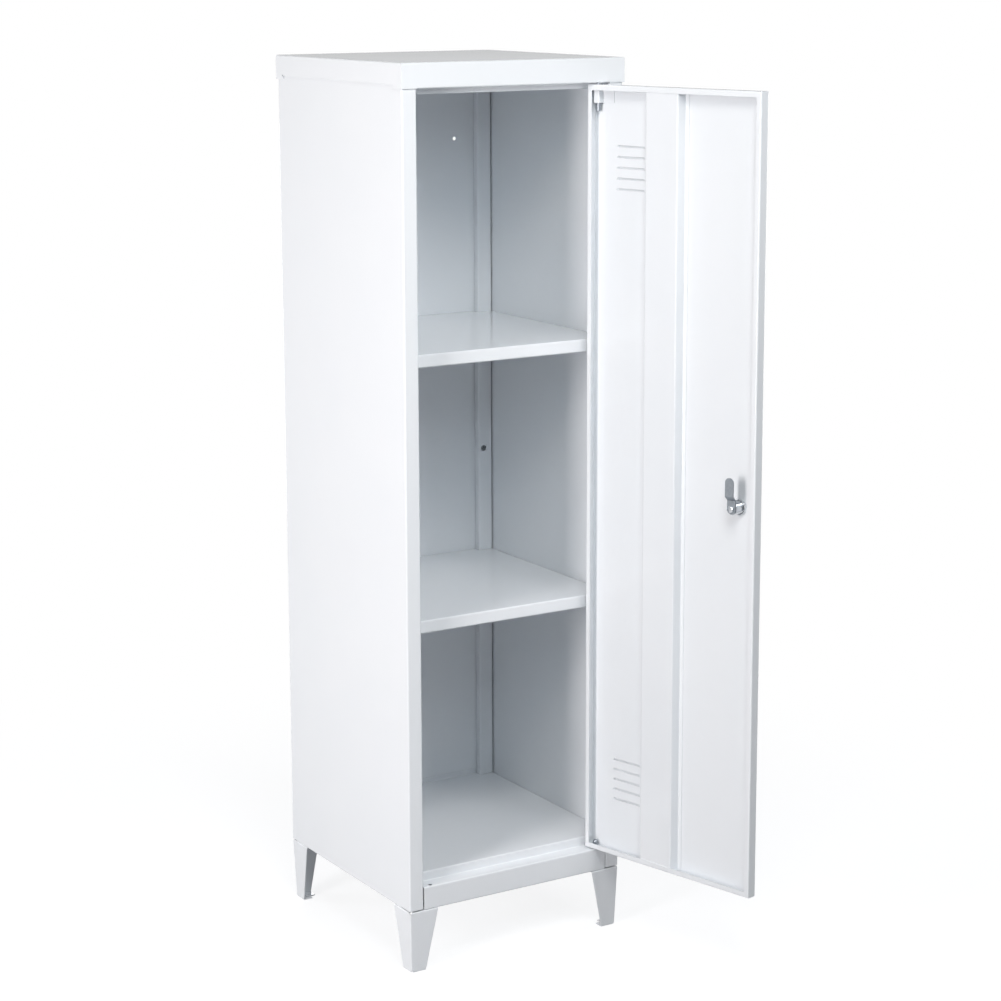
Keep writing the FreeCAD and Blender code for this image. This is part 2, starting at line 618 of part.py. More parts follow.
def turned(profile):
    """Solid turned about the door's pivot from radius and height pairs."""
    points = [PIVOT + V(r, 0, z) for r, z in profile]
    return Part.Face(Part.makePolygon(points + [points[0]])).revolve(PIVOT, UP, 360)


def hinge_spring():
    """Coil spring of square wire between the bracket and the collar of the pin, in quarter-turn arcs."""
    bottom = HINGE_BRACKET_BOTTOM + HINGE_SHEET + SPRING_WIRE_R + SPRING_END_GAP
    top = COLLAR_BOTTOM - SPRING_WIRE_R - SPRING_END_GAP
    quarters = 4 * SPRING_TURNS

    def point(quarter):
        angle = math.radians(90 * quarter)
        level = UP * (bottom + (top - bottom) * quarter / quarters)
        return PIVOT + V(SPRING_R * math.cos(angle), SPRING_R * math.sin(angle), 0) + level

    arcs = [Part.Arc(point(k), point(k + 0.5), point(k + 1)).toShape() for k in range(quarters)]
    around = [math.radians(45 + 90 * k) for k in range(4)]
    corners = [point(0) + V(math.cos(a), 0, math.sin(a)) * SPRING_WIRE_R for a in around]
    section = Part.makePolygon(corners + [corners[0]])
    return Part.Wire(arcs).makePipeShell([section], True, False)


def lower_hinge_pin():
    """Pivot stud riveted in the door's bottom flange, with a crowned head inside the door."""
    seat = DOOR_BOTTOM + SHEET
    profile = [
        (0, LOWER_PIN_BOTTOM),
        (PIN_R, LOWER_PIN_BOTTOM),
        (PIN_R, seat),
        (LOWER_HEAD_R, seat),
        (LOWER_HEAD_R, LOWER_HEAD_TOP - LOWER_HEAD_CROWN),
        (LOWER_HEAD_R - LOWER_HEAD_CROWN, LOWER_HEAD_TOP),
        (0, LOWER_HEAD_TOP),
    ]
    return turned(profile)


def hinge_washer():
    """Plastic washer that carries the door on the ledge."""
    foot = PIVOT + UP * (LEDGE_Z + WASHER_GAP)
    thick = DOOR_BOTTOM - LEDGE_Z - WASHER_GAP
    return rod(WASHER_R, foot, UP, thick).cut(rod(PIN_R, foot, UP, thick))


def lock_point(t):
    """Point of the lock's axis, t in from the door's outer face."""
    return on_door(LOCK_S, t, LOCK_Z)


def lock_barrel(slack):
    """Barrel with two flats, as a solid; slack widens it for the hole in the door."""
    barrel = rod(BARREL_R + slack, lock_point(0), INWARD, BARREL_END_T)
    half = BARREL_FLATS / 2 + slack
    reach = 2 * BARREL_R
    flats = box(lock_point(0) - V(half, 0, reach), lock_point(BARREL_END_T) + V(half, 0, reach))
    return barrel.common(flats)


def lock_body():
    """Barrel and face flange, bored for the plug."""
    front = lock_point(-LOCK_FLANGE)
    flange = rod(LOCK_FLANGE_R, front, INWARD, LOCK_FLANGE)
    flange = flange.makeChamfer(LOCK_FLANGE_BEVEL, edges_where(flange, lambda p: p.y < front.y + 1e-6))
    bore = rod(PLUG_R + RUNNING_FIT, front, INWARD, LOCK_FLANGE + BARREL_END_T)
    return flange.fuse(lock_barrel(0)).cut(bore).removeSplitter()


def lock_nut():
    """Thin hexagon nut that holds the lock from inside the door."""
    blank = hexagon(LOCK_NUT_FLATS, lock_point(SHEET), INWARD, LOCK_NUT)
    return blank.cut(rod(BARREL_R, lock_point(SHEET), INWARD, LOCK_NUT))


def lock_plug():
    """Plug with a blind keyway, a square for the cam and a tapped end for its screw."""
    front = -LOCK_FLANGE - PLUG_PROUD
    end = BARREL_END_T + PLUG_SHOULDER
    plug = rod(PLUG_R, lock_point(front), INWARD, end - front)
    half = PLUG_SQUARE / 2
    square = box(lock_point(end) - V(half, 0, half), lock_point(end + PLUG_SQUARE_LENGTH) + V(half, 0, half))
    slot = V(KEYWAY_WIDTH / 2, 0, KEYWAY_LENGTH / 2)
    keyway = box(lock_point(front) - slot, lock_point(front + KEYWAY_DEPTH) + slot)
    tapped = rod(CAM_SCREW_R, lock_point(end + PLUG_SQUARE_LENGTH), -INWARD, CAM_SCREW_LENGTH)
    return plug.fuse(square).cut(keyway).cut(tapped).removeSplitter()


def lock_cam():
    """Cranked flat cam that points up when the lock is open."""
    base_t = BARREL_END_T + PLUG_SHOULDER
    half = CAM_WIDTH / 2
    profile = [
        (base_t, -half),
        (base_t, CAM_CRANK_START),
        (CAM_ARM_T - CAM_SHEET, CAM_CRANK_END),
        (CAM_ARM_T - CAM_SHEET, CAM_LENGTH),
    ]
    path = [lock_point(t) + V(half, 0, up) for t, up in profile]
    strip = folded(path, V(-CAM_WIDTH, 0, 0), CAM_SHEET, CAM_SHEET / 2)
    reach = CAM_ARM_T + CAM_SHEET
    start = lock_point(0)
    rounded_end = rod(half, start, INWARD, reach)
    middle = box(start - V(half, 0, 0), start + V(half, reach, CAM_LENGTH - half))
    tip = rod(half, start + UP * (CAM_LENGTH - half), INWARD, reach)
    strip = strip.common(rounded_end.fuse([middle, tip]).removeSplitter())
    hole = PLUG_SQUARE / 2
    square = box(lock_point(base_t) - V(hole, 0, hole), lock_point(base_t + CAM_SHEET) + V(hole, 0, hole))
    return strip.cut(square).removeSplitter()


def cam_screw():
    """Hexagon-headed screw in the end of the plug."""
    seat_t = BARREL_END_T + PLUG_SHOULDER + PLUG_SQUARE_LENGTH
    head = hexagon(CAM_SCREW_FLATS, lock_point(seat_t), INWARD, CAM_SCREW_HEAD)
    return head.fuse(rod(CAM_SCREW_R, lock_point(seat_t), -INWARD, CAM_SCREW_LENGTH - CAM_SCREW_HEAD))


def opened(shape):
    """A piece of the door, turned from closed to the open rest position."""
    turned_shape = shape.copy()
    turned_shape.rotate(PIVOT, UP, DOOR_OPEN)
    return turned_shape


def main():
    left_panel = left_side_panel()
    leg = front_left_leg()
    parts = {
        "top_cap": top_cap(),
        "left_side_panel": left_panel,
        "right_side_panel": mirrored_x(left_panel),
        "back_panel": back_panel(),
        "bottom_panel": bottom_panel(),
        "shelf_brackets": shelf_brackets(),
        "front_left_leg": leg,
        "front_right_leg": mirrored_x(leg),
        "rear_left_leg": mirrored_y(leg),
        "rear_right_leg": mirrored_x(mirrored_y(leg)),
        "leg_bolts": leg_bolts(),
        "leg_nuts": leg_nuts(),
        "cap_studs": cap_studs(),
        "cap_nuts": cap_nuts(),
        "back_screws": back_screws(),
        "back_nuts": back_nuts(),
    }
    for name, top in SHELF_TOPS.items():
        parts[name] = shelf(top)
    on_the_door = (
        door_panel,
        door_stiffener,
        upper_hinge_bracket,
        lower_hinge_pin,
        hinge_washer,
        lock_body,
        lock_nut,
        upper_hinge_pin,
        hinge_spring,
        lock_plug,
        lock_cam,
        cam_screw,
    )
    for make in on_the_door:
        parts[make.__name__] = opened(make())
    os.makedirs("parts", exist_ok=True)
    for name, shape in parts.items():
        if not shape.isValid():
            raise ValueError(name + " is not a valid solid")
        shape.translate(-ORIGIN)
        shape.exportStep(os.path.join("parts", name + ".step"))
        size = shape.BoundBox
        print(name, len(shape.Solids), round(size.XLength, 1), round(size.YLength, 1), round(size.ZLength, 1))


main()
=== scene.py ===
"""Looks of a sheet-steel clothing locker: its finishes, its small hardware, a studio and a camera.

Metres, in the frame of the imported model: X to the right, Y into the depth, Z up, floor at z = 0.
"""

import json
import math

import bmesh
import bpy
import numpy as np
from mathutils import Matrix, Vector


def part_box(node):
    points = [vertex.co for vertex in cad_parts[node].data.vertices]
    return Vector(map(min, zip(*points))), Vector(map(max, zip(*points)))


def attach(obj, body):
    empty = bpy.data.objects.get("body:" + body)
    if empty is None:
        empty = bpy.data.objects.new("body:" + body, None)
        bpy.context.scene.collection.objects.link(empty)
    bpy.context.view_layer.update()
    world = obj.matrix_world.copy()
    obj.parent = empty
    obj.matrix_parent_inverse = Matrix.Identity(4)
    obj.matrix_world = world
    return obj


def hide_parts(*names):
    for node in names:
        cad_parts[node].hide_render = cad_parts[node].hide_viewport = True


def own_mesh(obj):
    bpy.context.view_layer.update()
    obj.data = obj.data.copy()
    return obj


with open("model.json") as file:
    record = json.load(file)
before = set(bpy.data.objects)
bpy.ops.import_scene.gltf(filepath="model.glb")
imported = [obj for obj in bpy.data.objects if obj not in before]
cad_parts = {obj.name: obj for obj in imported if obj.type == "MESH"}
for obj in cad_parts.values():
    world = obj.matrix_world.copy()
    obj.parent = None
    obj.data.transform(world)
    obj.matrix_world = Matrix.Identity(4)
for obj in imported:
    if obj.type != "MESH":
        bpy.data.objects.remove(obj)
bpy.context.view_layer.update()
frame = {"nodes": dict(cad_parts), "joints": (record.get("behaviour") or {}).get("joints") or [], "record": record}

MM = 0.001
UP = Vector((0, 0, 1))
INTO = Vector((0, 1, 0))

# Places taken from the frame
joints = {joint["name"]: joint for joint in frame["joints"]}
BODY_LOW, BODY_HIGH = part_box("left_side_panel")[0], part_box("right_side_panel")[1]
MIDDLE = Vector(((BODY_LOW.x + BODY_HIGH.x) / 2, (BODY_LOW.y + BODY_HIGH.y) / 2, 0))
PIVOT = Vector(joints["door_hinge"]["pos_m"])
LOCK = Vector(joints["lock_turn"]["pos_m"])
DOOR_OUT = Vector(joints["lock_turn"]["axis"]).normalized()
DOOR_IN = -DOOR_OUT
DOOR_ALONG = DOOR_OUT.cross(UP)

# Threads: width across flats of the head or nut, radius, pitch, and the depth as a share of the pitch
M6_FLATS, M6_R, M6_PITCH = 10 * MM, 3 * MM, 1.0 * MM
M5_FLATS, M5_R, M5_PITCH = 8 * MM, 2.5 * MM, 0.8 * MM
THREAD_DEPTH = 0.6134

# Hexagons: radius of the turned-off face and countersink as shares of the flats, and the cone's slope
HEX_FACE, HEX_SINK, HEX_CONE = 0.475, 0.08, math.radians(30)

# Fasteners of the cabinet: places in from the body's corners or from its middle, and heads
LEG_BOLT_ALONG, LEG_BOLT_IN, LEG_BOLT_HEAD = 34 * MM, 13 * MM, 4 * MM
CAP_STUD_IN, CAP_STUD_Y = 13 * MM, 120 * MM
BACK_SCREW_X, BACK_SCREW_Z, BACK_HEAD_R, BACK_HEAD = 172 * MM, 715 * MM, 5 * MM, 1.1 * MM
BACK_HEAD_RIM = 0.3 * MM

# Cross recess of the back screws: an arm's reach, half width and depth, brim and wall as shares of it
RECESS_REACH, RECESS_HALF, RECESS_DEPTH = 2.4 * MM, 0.55 * MM, 0.75 * MM
RECESS_BRIM, RECESS_WALL = 1.15, 0.3

# Cam lock: face flange, barrel with two flats, plug's bore, nut on the door's sheet, and cam screw
LOCK_FLANGE_R, LOCK_FLANGE, LOCK_FLANGE_ROUND = 11.5 * MM, 3.0 * MM, 1.1 * MM
BARREL_R, BARREL_FLATS, BARREL_LENGTH, BARREL_PITCH = 9.3 * MM, 16 * MM, 20 * MM, 1.0 * MM
PLUG_BORE_R = 6.56 * MM
LOCK_NUT_FLATS, LOCK_NUT, DOOR_SHEET = 22 * MM, 4 * MM, 0.8 * MM
CAM_SCREW_FLATS, CAM_SCREW_HEAD, CAM_SCREW_SEAT, CAM_SCREW_LENGTH = 10 * MM, 3.5 * MM, 22.5 * MM, 6.5 * MM

# Hinge spring, with the share of its height that is left when the pin is pulled, and lower pin
SPRING_R, SPRING_WIRE_R, SPRING_TURNS, SPRING_KEPT = 3.75 * MM, 0.4 * MM, 4, 0.3
PIN_R, PIN_BEVEL, PIN_HEAD_R, PIN_HEAD_SEAT = 3 * MM, 0.6 * MM, 4 * MM, 0.8 * MM

# Fineness of the meshes: columns in a turn, rows along a form, and when points merge and edges are sharp
ROUND, FINE_ROUND, WIRE_ROUND = 48, 96, 12
ROWS_PER_PITCH, ROWS_PER_COIL = 8, 40
CROWN_ROWS, RIM_ROWS, DOME_ROWS = 25, 7, 13
MERGE, SHARP = 1e-6, math.radians(35)

# Picture: its side, focal length and principal point in pixels, and the sensor's width in millimetres
PICTURE, FOCAL, CENTRE_X, CENTRE_Y = 1001, 2489.9, 505.5, 440.5
SENSOR = 36.0

# Camera: place from the middle of the body, and its turns in degrees
CAMERA_FROM_MIDDLE = Vector((-1945.6, -3294.9, 1509.0)) * MM
CAMERA_YAW, CAMERA_PITCH, CAMERA_ROLL = 31.863, 10.868, 0.144

# Soft boxes: place from the middle of the body, width and height in metres, watts and tint
LIGHTS = {
    "key_strip": ((-2.2, -0.82, 1.06), (0.5, 1.55), 35.5, "#fff9f7"),
    "side_fill": ((-1.85, 1.65, 0.75), (0.7, 1.1), 15.5, "#fcfeff"),
    "front_left_box": ((-0.7, -2.05, 1.95), (0.6, 0.6), 7, "#e9f6ff"),
    "front_right_box": ((0.7, -2.25, 1.95), (0.5, 0.5), 8, "#fffbf8"),
    "high_left_box": ((-0.75, -1.7, 2.6), (0.8, 0.8), 21, "#fbf8f3"),
    "rear_fill": ((0.5, 2.6, 0.6), (1.4, 1.0), 24, "#ffffff"),
    "right_fill": ((2.7, 0.1, 1.0), (1.4, 1.4), 26, "#ffffff"),
    "high_box": ((0.3, -1.9, 2.6), (0.7, 0.7), 9, "#fafcff"),
}
LIGHTS_AIM = (0.0, -0.05, 0.75)

# Surround: its light on the locker, the backdrop that the eye sees, and how much of that shows in gloss
AMBIENT_TINT, AMBIENT = "#cfe2fa", 0.05
BACKDROP_TINT, REFLECTED_ROOM = "#ffffff", 0.65

# Floor: side, distances where its shadow starts to fade and is gone, bounce tint, shade and glow seen
FLOOR_SIZE, FLOOR_CLEAR, FLOOR_FADED = 14.0, 0.5, 1.5
FLOOR_TINT, FLOOR_SHADE_TINT, FLOOR_GLOW = "#b0b1b3", "#8b8d90", 0.82

# Sockets of a colour Mix node, by number because its names repeat
MIX_FACTOR, MIX_A, MIX_B, MIX_RESULT = 0, 6, 7, 2


def srgb(code):
    """Linear colour of an sRGB hex code."""
    channels = [int(code[i:i + 2], 16) / 255 for i in (1, 3, 5)]
    return [c / 12.92 if c <= 0.04045 else ((c + 0.055) / 1.055) ** 2.4 for c in channels] + [1.0]


def feed(tree, node, inputs):
    """Gives a node's inputs, by name or number, a constant value or a link from another node's socket."""
    for key, value in inputs.items():
        if isinstance(value, bpy.types.NodeSocket):
            tree.links.new(value, node.inputs[key])
        else:
            node.inputs[key].default_value = value


def add(tree, kind, inputs=None, **settings):
    """One new shader node: settings are its properties, inputs are fed to its sockets."""
    node = tree.nodes.new("ShaderNode" + kind)
    for name, value in settings.items():
        setattr(node, name, value)
    feed(tree, node, inputs or {})
    return node


def new_finish(name):
    """New material with a Principled shader, and the Object coordinates that its patterns read."""
    finish = bpy.data.materials.new(name)
    finish.use_nodes = True
    tree = finish.node_tree
    return finish, tree, tree.nodes["Principled BSDF"], add(tree, "TexCoord").outputs["Object"]


def per_size(millimetres):
    """Texture scale that gives features of this size."""
    return 1 / (millimetres * MM)


def powder_coat():
    """Polyester powder, sprayed on folded steel and baked.

    The eye sees a cool glossy white that mirrors what is near it softly, a faint orange peel from the
    melted grains, a slow drift in thickness, and corners rounded by the coat.
    """
    finish, tree, shader, place = new_finish("powder_coat_gloss_white")
    drift = add(tree, "TexNoise", {"Vector": place, "Scale": per_size(140), "Detail": 2.0}).outputs["Fac"]
    shades = {MIX_FACTOR: drift, MIX_A: srgb("#eff3f7"), MIX_B: srgb("#f3f6f9")}
    white = add(tree, "Mix", shades, data_type="RGBA").outputs[MIX_RESULT]
    # Baked grains are about 0.5 mm across; the peel is drawn at 2.4 mm so that it shows
    peel = add(tree, "TexNoise", {"Vector": place, "Scale": per_size(2.4), "Detail": 1.0}).outputs["Fac"]
    gloss = add(tree, "MapRange", {"Value": peel, "To Min": 0.09, "To Max": 0.13}).outputs["Result"]
    edge = add(tree, "Bevel", {"Radius": 0.5 * MM}, samples=4).outputs["Normal"]
    relief = {"Strength": 0.06, "Distance": 0.05 * MM, "Height": peel, "Normal": edge}
    bump = add(tree, "Bump", relief).outputs["Normal"]
    feed(tree, shader, {"Base Color": white, "Roughness": gloss, "Normal": bump, "IOR": 1.5})
    return finish


def zinc_plate():
    """Mild steel, electroplated with zinc and clear-passivated.

    The eye sees a grey, slightly blue metal with cloudy brightness, and soft, broken highlights.
    """
    finish, tree, shader, place = new_finish("zinc_plated_steel_passivated")
    cloud = add(tree, "TexNoise", {"Vector": place, "Scale": per_size(3.5), "Detail": 3.0}).outputs["Fac"]
    shades = {MIX_FACTOR: cloud, MIX_A: srgb("#8e949b"), MIX_B: srgb("#aab0b6")}
    grey = add(tree, "Mix", shades, data_type="RGBA").outputs[MIX_RESULT]
    gloss = add(tree, "MapRange", {"Value": cloud, "To Min": 0.30, "To Max": 0.45}).outputs["Result"]
    # The plating's grain is under 0.1 mm; it is drawn at 0.6 mm so that it shows
    grit = add(tree, "TexNoise", {"Vector": place, "Scale": per_size(0.6), "Detail": 1.0}).outputs["Fac"]
    edge = add(tree, "Bevel", {"Radius": 0.2 * MM}, samples=4).outputs["Normal"]
    relief = {"Strength": 0.15, "Distance": 0.02 * MM, "Height": grit, "Normal": edge}
    bump = add(tree, "Bump", relief).outputs["Normal"]
    feed(tree, shader, {"Base Color": grey, "Roughness": gloss, "Normal": bump, "Metallic": 1.0})
    return finish


def chrome_plate():
    """Die-cast zinc, polished and chrome-plated.

    The eye sees a bright mirror-like metal with dark and white bands, and faint clouds left by polishing.
    """
    finish, tree, shader, place = new_finish("chrome_plated_zinc_casting")
    # Polishing marks are under 0.1 mm wide; they are drawn as clouds of 1.2 mm so that they show
    cloud = add(tree, "TexNoise", {"Vector": place, "Scale": per_size(1.2), "Detail": 2.0}).outputs["Fac"]
    shades = {MIX_FACTOR: cloud, MIX_A: srgb("#ccd0d5"), MIX_B: srgb("#e2e5e8")}
    bright = add(tree, "Mix", shades, data_type="RGBA").outputs[MIX_RESULT]
    gloss = add(tree, "MapRange", {"Value": cloud, "To Min": 0.10, "To Max": 0.20}).outputs["Result"]
    edge = add(tree, "Bevel", {"Radius": 0.25 * MM}, samples=4).outputs["Normal"]
    relief = {"Strength": 0.08, "Distance": 0.02 * MM, "Height": cloud, "Normal": edge}
    bump = add(tree, "Bump", relief).outputs["Normal"]
    feed(tree, shader, {"Base Color": bright, "Roughness": gloss, "Normal": bump, "Metallic": 1.0})
    return finish


def natural_nylon():
    """Polyamide, moulded and left in its own colour.

    The eye sees a milky ivory plastic with a dull sheen and slight clouding.
    """
    finish, tree, shader, place = new_finish("nylon_moulded_natural")
    cloud = add(tree, "TexNoise", {"Vector": place, "Scale": per_size(4), "Detail": 2.0}).outputs["Fac"]
    shades = {MIX_FACTOR: cloud, MIX_A: srgb("#ddd8c9"), MIX_B: srgb("#e9e5d8")}
    ivory = add(tree, "Mix", shades, data_type="RGBA").outputs[MIX_RESULT]
    gloss = add(tree, "MapRange", {"Value": cloud, "To Min": 0.40, "To Max": 0.50}).outputs["Result"]
    feed(tree, shader, {"Base Color": ivory, "Roughness": gloss, "IOR": 1.53})
    return finish


FINISHES = {
    "powder_coat_white": powder_coat(),
    "zinc_plated_steel": zinc_plate(),
    "chromed_zinc": chrome_plate(),
    "nylon_natural": natural_nylon(),
}


def dress_nodes():
    """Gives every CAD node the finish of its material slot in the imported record."""
    for part in frame["record"]["subparts"]:
        mesh = frame["nodes"][part["node"]].data
        mesh.materials.clear()
        mesh.materials.append(FINISHES[part["material_slot"]])


def turn(count):
    """Angles of one turn as a row, without the repeated end."""
    return np.arange(count)[None, :] * (2 * np.pi / count)


def column(*values):
    """Values as a column, one for each row of a grid."""
    return np.array(values, float)[:, None]


def quarter(count):
    """Angles of a quarter turn as a column, both ends included."""
    return np.radians(np.linspace(0, 90, count))[:, None]


def ring_grid(radius, height, angle, foot, axis, side):
    """Points foot + height·axis + radius·(cos angle·side + sin angle·(axis × side)), rows by angles."""
    radius, height, angle = np.broadcast_arrays(radius, height, angle)
    across = axis.cross(side)
    out = np.cos(angle)[..., None] * np.array(side) + np.sin(angle)[..., None] * np.array(across)
    return np.array(foot) + height[..., None] * np.array(axis) + radius[..., None] * out


def ring_faces(rows, columns, closed):
    """Quads of a grid whose columns go once round; closed also joins the last row to the first."""
    row = np.arange(rows if closed else rows - 1)[:, None]
    col = np.arange(columns)[None, :]
    here, beyond = row * columns, (row + 1) % rows * columns
    next_col = (col + 1) % columns
    corners = (here + col, here + next_col, beyond + next_col, beyond + col)
    return np.stack(np.broadcast_arrays(*corners), -1).reshape(-1, 4)


def piece(name, grids, closed, body, slot, node):
    """One object from ring grids, with its poles merged, riding on a body in place of a CAD node."""
    points, faces, start = [], [], 0
    for grid in grids:
        rows, columns = grid.shape[:2]
        points.append(grid.reshape(-1, 3))
        faces.append(ring_faces(rows, columns, closed) + start)
        start += rows * columns
    mesh = bpy.data.meshes.new(name)
    mesh.from_pydata(np.concatenate(points).tolist(), [], np.concatenate(faces).tolist())
    shape = bmesh.new()
    shape.from_mesh(mesh)
    bmesh.ops.remove_doubles(shape, verts=shape.verts, dist=MERGE)
    bmesh.ops.recalc_face_normals(shape, faces=shape.faces)
    shape.to_mesh(mesh)
    shape.free()
    mesh.shade_smooth()
    mesh.set_sharp_from_angle(angle=SHARP)
    mesh.materials.append(FINISHES[slot])
    made = bpy.data.objects.new(name, mesh)
    bpy.context.scene.collection.objects.link(made)
    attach(made, body)
    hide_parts(node)
    return made


def thread(radius, pitch, height, angle):
    """Radius of a screw thread: a triangle wave of height / pitch - angle / turn, cut into the radius."""
    wave = np.abs(2 * ((height / pitch - angle / (2 * np.pi)) % 1) - 1)
    return radius - THREAD_DEPTH * pitch * wave


def hexagon(flats, angle):
    """Distance from the axis to a hexagon's side: half the flats over the cosine from the side's middle."""
    return flats / 2 / np.cos(angle % (np.pi / 3) - np.pi / 6)


def hex_chamfer(flats, angle):
    """Drop of a hexagon's corner where a cone turns it off: radius beyond the face · the cone's slope."""
    return np.maximum(hexagon(flats, angle) - HEX_FACE * flats, 0) * math.tan(HEX_CONE)


def hex_nut(flats, bore, thickness, foot, axis, side):
    """Closed ring: bore with two countersinks, then a hexagon whose corners are turned off at both ends."""
    angle = turn(ROUND)
    corner, drop = hexagon(flats, angle), hex_chamfer(flats, angle)
    sink = HEX_SINK * flats
    circle = HEX_FACE * flats
    rows = (
        (bore + sink, 0),
        (bore, sink),
        (bore, thickness - sink),
        (bore + sink, thickness),
        (circle, thickness),
        (corner, thickness - drop),
        (corner, drop),
        (circle, 0),
    )
    radius = np.concatenate([np.broadcast_to(r, angle.shape) for r, _ in rows])
    height = np.concatenate([np.broadcast_to(h, angle.shape) for _, h in rows])
    return ring_grid(radius, height, angle, foot, axis, side)


def threaded_rows(radius, pitch, start, end, angle):
    """Radii and heights of a threaded shank from start to end, with a bevelled tip and its pole."""
    steps = int(round(ROWS_PER_PITCH * (end - start) / pitch))
    height = np.linspace(start, end - pitch, steps)[:, None]
    shank = thread(radius, pitch, height, angle)
    tip = column(radius - THREAD_DEPTH * pitch, 0) + 0 * angle
    tip_height = column(end, end) + 0 * angle
    return np.concatenate([shank, tip]), np.concatenate([height + 0 * angle, tip_height])


def hex_bolt(flats, head, radius, pitch, length, foot, axis, side):
    """Hexagon head from its turned-off face to its seat, then a threaded shank to its tip."""
    angle = turn(ROUND)
    corner, drop = hexagon(flats, angle), hex_chamfer(flats, angle)
    flat = 0 * angle
    shank, shank_height = threaded_rows(radius, pitch, head, head + length, angle)
    radii = np.concatenate([flat, flat + HEX_FACE * flats, corner, corner, flat + radius, shank])
    heights = np.concatenate([flat, flat, drop, flat + head, flat + head, shank_height])
    return ring_grid(radii, heights, angle, foot, axis, side)


def leg_corners():
    """Places of the leg bolts in plan, two at each corner of the body, mirrored about its middle."""
    spots = ((LEG_BOLT_ALONG, LEG_BOLT_IN), (LEG_BOLT_IN, LEG_BOLT_ALONG))
    xs = ((BODY_LOW.x, 1), (BODY_HIGH.x, -1))
    ys = ((BODY_LOW.y, 1), (BODY_HIGH.y, -1))
    return [(x + i * a, y + j * b) for x, i in xs for y, j in ys for a, b in spots]


def leg_fasteners():
    """Hexagon bolts under the legs' top flanges and their nuts inside the body."""
    low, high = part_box("leg_bolts")
    length = high.z - low.z - LEG_BOLT_HEAD
    bolts = [
        hex_bolt(M6_FLATS, LEG_BOLT_HEAD, M6_R, M6_PITCH, length, Vector((x, y, low.z)), UP, INTO)
        for x, y in leg_corners()
    ]
    piece("leg_bolts_threaded", bolts, False, "cabinet", "zinc_plated_steel", "leg_bolts")
    low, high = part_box("leg_nuts")
    thickness = high.z - low.z
    nuts = [
        hex_nut(M6_FLATS, M6_R, thickness, Vector((x, y, low.z)), UP, INTO)
        for x, y in leg_corners()
    ]
    piece("leg_nuts_chamfered", nuts, True, "cabinet", "zinc_plated_steel", "leg_nuts")


def cap_fasteners():
    """Threaded studs under the cap, from a flat top to a bevelled tip, and their nuts."""
    spots = [
        (x, MIDDLE.y + y)
        for x in (BODY_LOW.x + CAP_STUD_IN, BODY_HIGH.x - CAP_STUD_IN)
        for y in (-CAP_STUD_Y, CAP_STUD_Y)
    ]
    low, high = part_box("cap_studs")
    angle = turn(ROUND)
    radius, height = threaded_rows(M5_R, M5_PITCH, 0, high.z - low.z, angle)
    radius = np.concatenate([0 * angle, radius])
    height = np.concatenate([0 * angle, height])
    studs = [ring_grid(radius, height, angle, Vector((x, y, high.z)), -UP, INTO) for x, y in spots]
    piece("cap_studs_threaded", studs, False, "cabinet", "zinc_plated_steel", "cap_studs")
    low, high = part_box("cap_nuts")
    thickness = high.z - low.z
    nuts = [hex_nut(M5_FLATS, M5_R, thickness, Vector((x, y, low.z)), UP, INTO) for x, y in spots]
    piece("cap_nuts_chamfered", nuts, True, "cabinet", "zinc_plated_steel", "cap_nuts")


def truss_screw(foot, axis, side, length):
    """Low domed head with a cross recess sunk into it, then a threaded shank.

    The head's height is 1 - (r / R)² of its crown over a thin rim, less the recess. A point's place in
    the recess is the larger of its shares of an arm's reach and half width, for the nearer of the two
    arms; the depth grows over the width of the wall inwards from the brim.
    """
    angle = turn(FINE_ROUND)
    reach = np.linspace(0, 1, CROWN_ROWS)[:, None] * BACK_HEAD_R
    x, y = np.abs(reach * np.cos(angle)), np.abs(reach * np.sin(angle))
    one_arm = np.maximum(x / RECESS_REACH, y / RECESS_HALF)
    other_arm = np.maximum(x / RECESS_HALF, y / RECESS_REACH)
    inside = (RECESS_BRIM - np.minimum(one_arm, other_arm)) / RECESS_WALL
    recess = np.clip(inside, 0, 1) * RECESS_DEPTH
    crown = -BACK_HEAD_RIM - (BACK_HEAD - BACK_HEAD_RIM) * (1 - (reach / BACK_HEAD_R) ** 2)
    shank, shank_height = threaded_rows(M5_R, M5_PITCH, 0, length, angle)
    radius = np.concatenate([reach + 0 * angle, BACK_HEAD_R + 0 * angle, M5_R + 0 * angle, shank])
    height = np.concatenate([crown + recess, 0 * angle, 0 * angle, shank_height])
    return ring_grid(radius, height, angle, foot, axis, side)


def back_fasteners():
    """Low-headed screws through the back panel and the nuts behind the access holes."""
    xs = (MIDDLE.x - BACK_SCREW_X, MIDDLE.x + BACK_SCREW_X)
    low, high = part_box("back_screws")
    seat = high.y - BACK_HEAD
    screws = [truss_screw(Vector((x, seat, BACK_SCREW_Z)), -INTO, UP, seat - low.y) for x in xs]
    piece("back_screws_threaded", screws, False, "cabinet", "zinc_plated_steel", "back_screws")
    low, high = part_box("back_nuts")
    thickness = high.y - low.y
    nuts = [hex_nut(M5_FLATS, M5_R, thickness, Vector((x, low.y, BACK_SCREW_Z)), INTO, UP) for x in xs]
    piece("back_nuts_chamfered", nuts, True, "cabinet", "zinc_plated_steel", "back_nuts")


